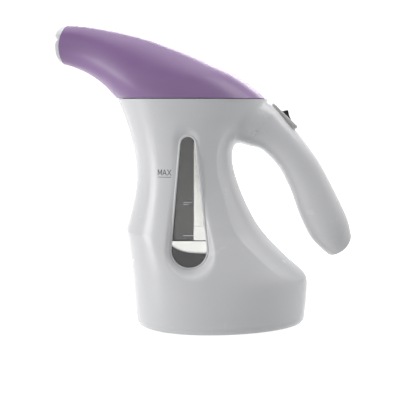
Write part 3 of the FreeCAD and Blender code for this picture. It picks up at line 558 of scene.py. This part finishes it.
MATERIALS = {
    "body_white": moulded("body_white", (0.80, 0.80, 0.815, 1), 0.24, spread=0.006, depth=0.012),
    "trim_white": moulded("trim_white", (0.80, 0.80, 0.81, 1), 0.22, spread=0.006),
    "nozzle_white": moulded("nozzle_white", (0.86, 0.86, 0.87, 1), 0.2, spread=0.006),
    "head_purple": moulded("head_purple", (0.285, 0.165, 0.36, 1), 0.36, spread=0.012, depth=0.012),
    "clear_lens": clear("clear_lens", (0.86, 0.86, 0.85, 1), 0.02, ior=1.38),
    "tank_smoke": clear("tank_smoke", (0.8, 0.8, 0.79, 1), 0.05),
    "inner_grey": moulded("inner_grey", (0.10, 0.10, 0.098, 1), 0.45),
    "inner_black": moulded("inner_black", (0.02, 0.02, 0.02, 1), 0.4),
    "silicone_grey": moulded("silicone_grey", (0.5, 0.5, 0.5, 1), 0.6),
    "polished_steel": metal("polished_steel", (0.72, 0.72, 0.71, 1), 0.16),
    "cast_aluminium": metal("cast_aluminium", (0.62, 0.62, 0.63, 1), 0.45),
    "element_steel": metal("element_steel", (0.4, 0.39, 0.37, 1), 0.4),
    "screw_steel": metal("screw_steel", (0.58, 0.58, 0.58, 1), 0.28),
    "terminal_brass": metal("terminal_brass", (0.75, 0.58, 0.3, 1), 0.3),
    "sleeve_white": moulded("sleeve_white", (0.75, 0.74, 0.7, 1), 0.85, grain=0.0006, depth=0.3),
    "base_grey": moulded("base_grey", (0.06, 0.06, 0.064, 1), 0.5, depth=0.12),
    "foot_rubber": moulded("foot_rubber", (0.02, 0.02, 0.02, 1), 0.75, depth=0.1),
    "plate_grey": moulded("plate_grey", (0.7, 0.7, 0.69, 1), 0.4, depth=0.06),
    "rocker_black": moulded("rocker_black", (0.006, 0.006, 0.007, 1), 0.45, Specular_IOR_Level=0.2),
    "print_grey": moulded("print_grey", (0.09, 0.09, 0.1, 1), 0.5),
    "dark_plate": moulded("dark_plate", (0.01, 0.009, 0.011, 1), 0.4, Specular_IOR_Level=0.15),
    "lamp_amber": moulded("lamp_amber", (0.55, 0.14, 0.02, 1), 0.15, Subsurface_Weight=0.3),
    "lead_brown": moulded("lead_brown", (0.09, 0.035, 0.015, 1), 0.5),
    "lead_blue": moulded("lead_blue", (0.02, 0.06, 0.3, 1), 0.5),
}


def finish_with(obj, slot):
    obj.data.materials.clear()
    obj.data.materials.append(MATERIALS[slot])
    return obj


def piece(obj, body, slot, *nodes):
    finish_with(obj, slot)
    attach(obj, body)
    if nodes:
        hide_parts(*nodes)
    return obj


# ---- housing ----------------------------------------------------------------------------------
GLAND_R = 6.1


def end_axis_distance(p):
    a = math.radians(END_TILT)
    x, z = p[:, 0] - END_AT[0], p[:, 2] - END_AT[1]
    out, off = x * math.cos(a) + z * math.sin(a), -x * math.sin(a) + z * math.cos(a)
    return np.where(out > -3, GLAND_R - np.hypot(off, p[:, 1]), -1.0)


def cut_all(verts, tris, *cutters):
    for cutter in cutters:
        verts, tris = clip(verts, tris, cutter(verts))
    return verts, tris


def build_housing():
    verts, tris = surface(body_field, (-92, -56, -2), (116, 2.4, 194), 1.25)
    verts, tris = cut_all(
        verts, tris,
        lambda p: p[:, 1] + PARTING,
        lambda p: RIM_Z - p[:, 2],
        lambda p: p[:, 2] - SEAM_Z,
        lambda p: -teardrop(p[:, 0], p[:, 2]),
        end_axis_distance,
    )
    left = shell("shell_left", verts, tris, body_field, WALL, low=RIM_Z, high=SEAM_Z)
    piece(left, "body", "body_white", "housing_left", "handle_left")
    right = shell("shell_right", verts, tris, body_field, WALL, mirror=True, low=RIM_Z, high=SEAM_Z)
    piece(right, "body", "body_white", "housing_right", "handle_right")


def mouth_frame(p):
    """How far out of the nozzle's mouth, and how far along it from its middle, each point is."""
    a = math.radians(MOUTH_ANGLE)
    x, z = p[:, 0] - PIVOT[0] - MOUTH_R * math.cos(a), p[:, 2] - PIVOT[1] - MOUTH_R * math.sin(a)
    return -x * math.sin(a) + z * math.cos(a), x * math.cos(a) + z * math.sin(a)


def past_mouth(out, along):
    """How far out of the nozzle's bulging mouth face the points are."""
    return out - MOUTH_BULGE * (1 - np.clip(np.abs(along) / MOUTH_HALF, 0, 1.5)**2)


def build_head():
    verts, tris = surface(head_field, (-150, -44, 186), (42, 44, 256), 1.2)
    verts, tris = cut_all(
        verts, tris,
        lambda p: HEAD_Z + SEAM_SHOWN - p[:, 2],
        lambda p: past_mouth(*mouth_frame(p)),
    )
    cover = shell("head_shell", verts, tris, head_field, HEAD_WALL)
    piece(cover, "head", "head_purple", "head_cover")


# ---- what the housing carries -----------------------------------------------------------------
def face_depth(x, z):
    """How far the outer surface is from the middle plane at each x and z."""
    x, z = np.broadcast_arrays(np.asarray(x, float), np.asarray(z, float))
    low, high = np.full(x.shape, 4.0), np.full(x.shape, 70.0)
    for _ in range(24):
        middle = (low + high) / 2
        outside = body_field(x, -middle, z) > 0
        low, high = np.where(outside, low, middle), np.where(outside, middle, high)
    return low


def sweep(path, section, closed=True):
    """A solid bar: section(i) gives the corners round point i of the path."""
    rings = np.array([section(i) for i in range(len(path))])
    n, m = rings.shape[:2]
    verts = rings.reshape(-1, 3)
    faces = []
    for i in range(n if closed else n - 1):
        j = (i + 1) % n
        faces += [(i * m + k, i * m + (k + 1) % m, j * m + (k + 1) % m, j * m + k) for k in range(m)]
    if not closed:
        faces += [tuple(range(m))[::-1], tuple(range((n - 1) * m, n * m))]
    return verts, faces


def joined(parts):
    """Several vertex and face lists as one."""
    verts, faces, base = [], [], 0
    for part_verts, part_faces in parts:
        verts.append(np.asarray(part_verts, float))
        faces += [tuple(i + base for i in face) for face in part_faces]
        base += len(part_verts)
    return np.vstack(verts), faces


def other_side(verts, faces):
    return np.asarray(verts) * [1, -1, 1], [face[::-1] for face in faces]


def stroke(start, end, half, depth_at, lift=0.07, sink=0.15):
    """A thin printed or raised line on a surface; depth_at gives the surface's depth."""
    start, end = np.array(start, float), np.array(end, float)
    along = (end - start) / np.linalg.norm(end - start)
    side = np.array([-along[1], along[0]]) * half
    path = [start + (end - start) * t for t in np.linspace(0, 1, 6)]

    def section(i):
        corners = []
        for reach, out in ((side, lift), (-side, lift), (-side, -sink), (side, -sink)):
            x, z = path[i] + reach
            corners.append((x, -float(depth_at(x, z)) - out, z))
        return corners

    return sweep(path, section, closed=False)


LETTERS = {
    "M": [((0, 0), (0, 1)), ((0, 1), (0.5, 0.2)), ((0.5, 0.2), (1, 1)), ((1, 1), (1, 0))],
    "A": [((0, 0), (0.5, 1)), ((0.5, 1), (1, 0)), ((0.2, 0.35), (0.8, 0.35))],
    "X": [((0, 0), (1, 1)), ((0, 1), (1, 0))],
}


def build_level_mark():
    """The word MAX with a line under it, beside the window."""
    wide, tall, gap, corner = 2.9, 4.6, 0.9, np.array([-51.2, 129.3])
    parts = []
    for i, letter in enumerate("MAX"):
        for a, b in LETTERS[letter]:
            a, b = (corner + (i * (wide + gap) + p[0] * wide, p[1] * tall) for p in (a, b))
            parts.append(stroke(a, b, 0.27, face_depth))
    parts.append(stroke(corner + (0, -1.5), corner + (3 * wide + 2 * gap, -1.5), 0.2, face_depth))
    piece(new_object("max_mark", *joined(parts), smooth=False), "body", "print_grey")


def teardrop_path(offset, count=96):
    """Points x, z round the window's outline, grown by offset."""
    x1, z1, r1 = WINDOW_TOP
    x2, z2, r2 = WINDOW_BOTTOM
    length = math.hypot(x2 - x1, z2 - z1)
    spread, tilt = math.acos((r1 - r2) / length), math.atan2(z2 - z1, x2 - x1)
    points = []
    for x, z, r, start, end in ((x1, z1, r1 + offset, tilt + spread, tilt + 2 * math.pi - spread),
                                (x2, z2, r2 + offset, tilt - spread, tilt + spread)):
        points += [(x + r * math.cos(t), z + r * math.sin(t)) for t in np.linspace(start, end, count // 3)]
    points = np.array(points)
    step_to = np.linalg.norm(np.roll(points, -1, 0) - points, axis=1)
    at = np.concatenate([[0], np.cumsum(step_to)])
    closed = np.vstack([points, points[:1]])
    fair = np.linspace(0, at[-1], count, endpoint=False)
    return np.stack([np.interp(fair, at, closed[:, k]) for k in (0, 1)], 1)


def rim(offset, half, lift, sink):
    """A rounded bar round the window, standing on the window's plane."""
    path = teardrop_path(offset)
    ahead = np.roll(path, -1, 0) - np.roll(path, 1, 0)
    ahead /= np.linalg.norm(ahead, axis=1)[:, None]
    side = np.stack([-ahead[:, 1], ahead[:, 0]], 1)

    def section(i):
        corners = []
        for t in np.linspace(0, math.pi, 7):
            x, z = path[i] + side[i] * half * math.cos(t)
            corners.append((x, -window_face(z) - lift * math.sin(t), z))
        for reach in (-half, half):
            x, z = path[i] + side[i] * reach
            corners.append((x, -window_face(z) + sink, z))
        return corners

    return sweep(path, section)


# Sheets behind the windows, each with its near face this far from the middle plane. The near-black sheets
# are painted shade, and the white lips on them are painted highlights.
BAND_Y, UPPER_BAND_Y, SHADE_LINE_Y, PAINTED_CRESCENT_Y = 33.1, 33.0, 33.2, 34.0
BAND_X = (-45.0, -7.0)
UPPER_BAND_FRONT = -22.6
BAND_LOW, BAND_TOP, SHADE_LINE_TOP, UPPER_BAND_TOP = 51.5, 75.4, 76.1, 87.4
PAINTED_CRESCENT_LINE = [(-43.0, 73.6), (-38.1, 70.4), (-30.7, 67.2), (-19.9, 65.8), (-9.0, 65.4)]
TICK_X, TICKS = -31.0, ((107.6, 7.0), (106.0, 4.5), (80.6, 8.5))     # height and length of each


def upright(line, low, high, near, far):
    """A sheet along points x, z, from low to high above each, between depths near and far."""
    def section(i):
        x, z = line[i]
        bottom, top = low(z), high(z)
        return [(x, -near, bottom), (x, -near, top), (x, -far, top), (x, -far, bottom)]

    return sweep(line, section, closed=False)


def sheet(x1, x2, z1, z2, depth):
    return upright(np.array([(x1, 0.0), (x2, 0.0)]), lambda z: z1, lambda z: z2, depth, depth - 0.4)


def build_window():
    frame_bar = rim(0.75, 0.85, 0.7, 0.9)
    for name, (verts, faces) in (("left", frame_bar), ("right", other_side(*frame_bar))):
        obj = new_object("window_rim_" + name, verts, faces)
        piece(obj, "body", "trim_white", "window_trim_" + name)

    def on_window(name, slot, parts):
        piece(new_object(name, *joined(parts), smooth=False), "body", slot)

    ticks = [stroke((TICK_X, z), (TICK_X + long, z), 0.22, lambda x, z: window_face(z)) for z, long in TICKS]
    on_window("level_ticks", "trim_white", ticks + [other_side(*t) for t in ticks])

    lower = sheet(*BAND_X, BAND_LOW, BAND_TOP, BAND_Y)
    upper = sheet(UPPER_BAND_FRONT, BAND_X[1], SHADE_LINE_TOP + 0.1, UPPER_BAND_TOP, UPPER_BAND_Y)
    on_window("boiler_bands", "polished_steel", [lower, upper, other_side(*lower)])
    # painted shade: a near-black sheet stands for the dark line along the top of the light band
    dark = sheet(*BAND_X, BAND_TOP, SHADE_LINE_TOP, SHADE_LINE_Y)
    on_window("painted_shade_line", "dark_plate", [dark, other_side(*dark)])

    line = dense(PAINTED_CRESCENT_LINE, 40)
    # painted shade: near-black sheets under this curve stand for the dark crescent seen low in each window
    plate = upright(line, lambda z: BAND_LOW, lambda z: z, PAINTED_CRESCENT_Y, PAINTED_CRESCENT_Y - 0.8)
    # painted highlight: a thin white strip along the dark crescent's top edge stands for the light caught on
    # that edge
    lip = upright(line, lambda z: z - 0.1, lambda z: z + 0.45, PAINTED_CRESCENT_Y + 0.1, PAINTED_CRESCENT_Y - 0.7)
    on_window("painted_shade_crescents", "dark_plate", [plate, other_side(*plate)])
    on_window("painted_highlight_lips", "trim_white", [lip, other_side(*lip)])


SEAL_OUTER, SEAL_INNER = 0.978, 0.965   # the seal's faces, as shares of the housing's outline and of that


def build_seam_seal():
    """The dark seal that shows in the joint between the housing and the head."""
    front, rear, half, widest, k_front, k_rear = BODY[-1][1:]
    turn = np.linspace(0, 2 * math.pi, 160, endpoint=False)
    ring = []
    for t in turn:
        k = k_rear if math.cos(t) > 0 else k_front
        along = math.cos(t) * ((rear - widest) if math.cos(t) > 0 else (widest - front))
        swell = 1 + k * math.cos(t)**2
        ring.append((widest + along, half * math.sin(t) * swell))
    middle = np.array([widest, 0.0])
    ring = middle + (np.array(ring) - middle) * SEAL_OUTER

    def section(i):
        x, y = ring[i]
        inner = middle + (ring[i] - middle) * SEAL_INNER
        low, top = SEAM_Z - 1.2, HEAD_Z - 0.1
        return [(x, y, low), (x, y, top), (*inner, top), (*inner, low)]

    piece(new_object("seam_seal", *sweep(ring, section)), "body", "dark_plate")


CAP_CLEAR = 0.35        # the cap's edge is this far inside the head's surface
CAP_GROOVE = 3.6        # where the groove crosses, from the mouth's middle
CAP_ROOT = 2.5          # how far the cap reaches back into the head


def cap_field(x, y, z):
    """The steam cap: two rounded lobes across the mouth with a groove between them."""
    shape = np.broadcast_shapes(x.shape, y.shape, z.shape)
    p = np.stack([np.broadcast_to(v, shape).ravel() for v in (x, y, z)], 1)
    out, along = mouth_frame(p)
    side = head_field(*p.T) + CAP_CLEAR
    upper = 4.6 * np.exp(-((along - 9.5) / 7.8)**4)
    lower = 3.3 * np.exp(-((along + 5.5) / 10.8)**4)
    reach = np.where(along > CAP_GROOVE, upper, lower) - 0.7 * np.exp(-((along - CAP_GROOVE) / 1.2)**2)
    front = past_mouth(out, along) - reach
    return smax(smax(side, front * 0.8, 1.6), -out - CAP_ROOT, 0.5).reshape(shape)


def build_cap():
    verts, tris = surface(cap_field, (-148, -18, 215), (-118, 18, 258), 0.75)
    piece(new_object("steam_cap", verts, tris), "head", "nozzle_white", "nozzle_plate")


build_housing()
build_head()
build_level_mark()
build_window()
build_seam_seal()
build_cap()

for name, node in frame["nodes"].items():
    slot = next(s["material_slot"] for s in frame["record"]["subparts"] if s["node"] == name)
    finish_with(node, slot)


# ---- floor, light and camera ------------------------------------------------------------------
def build_stage():
    """A round pale floor that curves up into a wall."""
    flat, cove, rise, sides = 2.2, 0.8, 3.0, 96
    bend = np.linspace(0, math.pi / 2, 14)
    profile = [(0.05, 0.0), (flat / 2, 0.0)]
    profile += [(flat + cove * math.sin(t), cove * (1 - math.cos(t))) for t in bend]
    profile.append((flat + cove, rise))
    n = len(profile)
    turns = np.arange(sides) * 2 * math.pi / sides
    verts = [(r * math.cos(t), r * math.sin(t), z) for t in turns for r, z in profile]
    faces = [tuple(range(0, sides * n, n))]
    for i in range(sides):
        near, far = i * n, (i + 1) % sides * n
        faces += [(near + j, near + j + 1, far + j + 1, far + j) for j in range(n - 1)]
    mesh = bpy.data.meshes.new("floor")
    mesh.from_pydata(verts, [], faces)
    mesh.polygons.foreach_set("use_smooth", [True] * len(mesh.polygons))
    floor = bpy.data.objects.new("floor", mesh)
    bpy.context.scene.collection.objects.link(floor)
    n = Nodes("floor_white", Roughness=0.6)
    n.to(n.ramp(n.noise(3.0, 2.0), [(0.0, (0.8, 0.8, 0.8)), (1.0, (0.82, 0.82, 0.82))]), "Base Color")
    n.shader.inputs["Emission Color"].default_value = (1, 1, 1, 1)
    n.shader.inputs["Emission Strength"].default_value = FLOOR_GLOW
    mesh.materials.append(n.mat)
    floor.visible_diffuse = False
    floor.visible_shadow = False


def area(name, heading, height, far, size, radiance, colour=(1, 1, 1)):
    """A soft light: heading in degrees from the camera's side towards the handle."""
    light = bpy.data.lights.new(name, "AREA")
    light.shape = "RECTANGLE"
    light.size, light.size_y = size
    light.energy = radiance * math.pi * size[0] * size[1]
    light.color = colour
    obj = bpy.data.objects.new(name, light)
    bpy.context.scene.collection.objects.link(obj)
    aim = Vector((-0.01, 0, 0.11))
    turn, tip = math.radians(heading), math.radians(height)
    away = Vector((math.sin(turn) * math.cos(tip), -math.cos(turn) * math.cos(tip), math.sin(tip)))
    obj.location = aim + away * far
    obj.rotation_euler = (-away).to_track_quat("-Z", "Y").to_euler()
    obj.visible_camera = False
    return obj


FLOOR_GLOW = 0.95
WORLD_GLOW = 0.22
COOL = (0.97, 0.985, 1.0)


def build_light():
    world = bpy.data.worlds.new("studio")
    world.use_nodes = True
    ambient = world.node_tree.nodes["Background"]
    ambient.inputs["Color"].default_value = (*COOL, 1)
    ambient.inputs["Strength"].default_value = WORLD_GLOW
    bpy.context.scene.world = world
    area("key_left", -66, 8, 1.1, (0.35, 0.9), 6.5)
    area("top", 180, 80, 1.0, (1.0, 0.9), 1.7)
    area("back_top", 180, 32, 1.2, (1.4, 0.3), 5.0)
    area("right_top", 80, 48, 1.1, (0.6, 0.6), 4.2)
    area("bounce", 0, -90, 0.8, (1.6, 1.6), 0.6, COOL)
    bpy.context.scene.view_settings.view_transform = "Standard"


def build_camera():
    camera = bpy.data.cameras.new("camera")
    camera.lens, camera.sensor_width = 75.0, 36.0
    camera.clip_end = 20.0
    obj = bpy.data.objects.new("camera", camera)
    bpy.context.scene.collection.objects.link(obj)
    obj.location = (-0.01743, -0.70345, 0.18545)
    aim = Vector((-0.01743, 0.0, 0.1053))
    obj.rotation_euler = (aim - obj.location).to_track_quat("-Z", "Y").to_euler()
    bpy.context.scene.camera = obj


build_stage()
build_light()
build_camera()
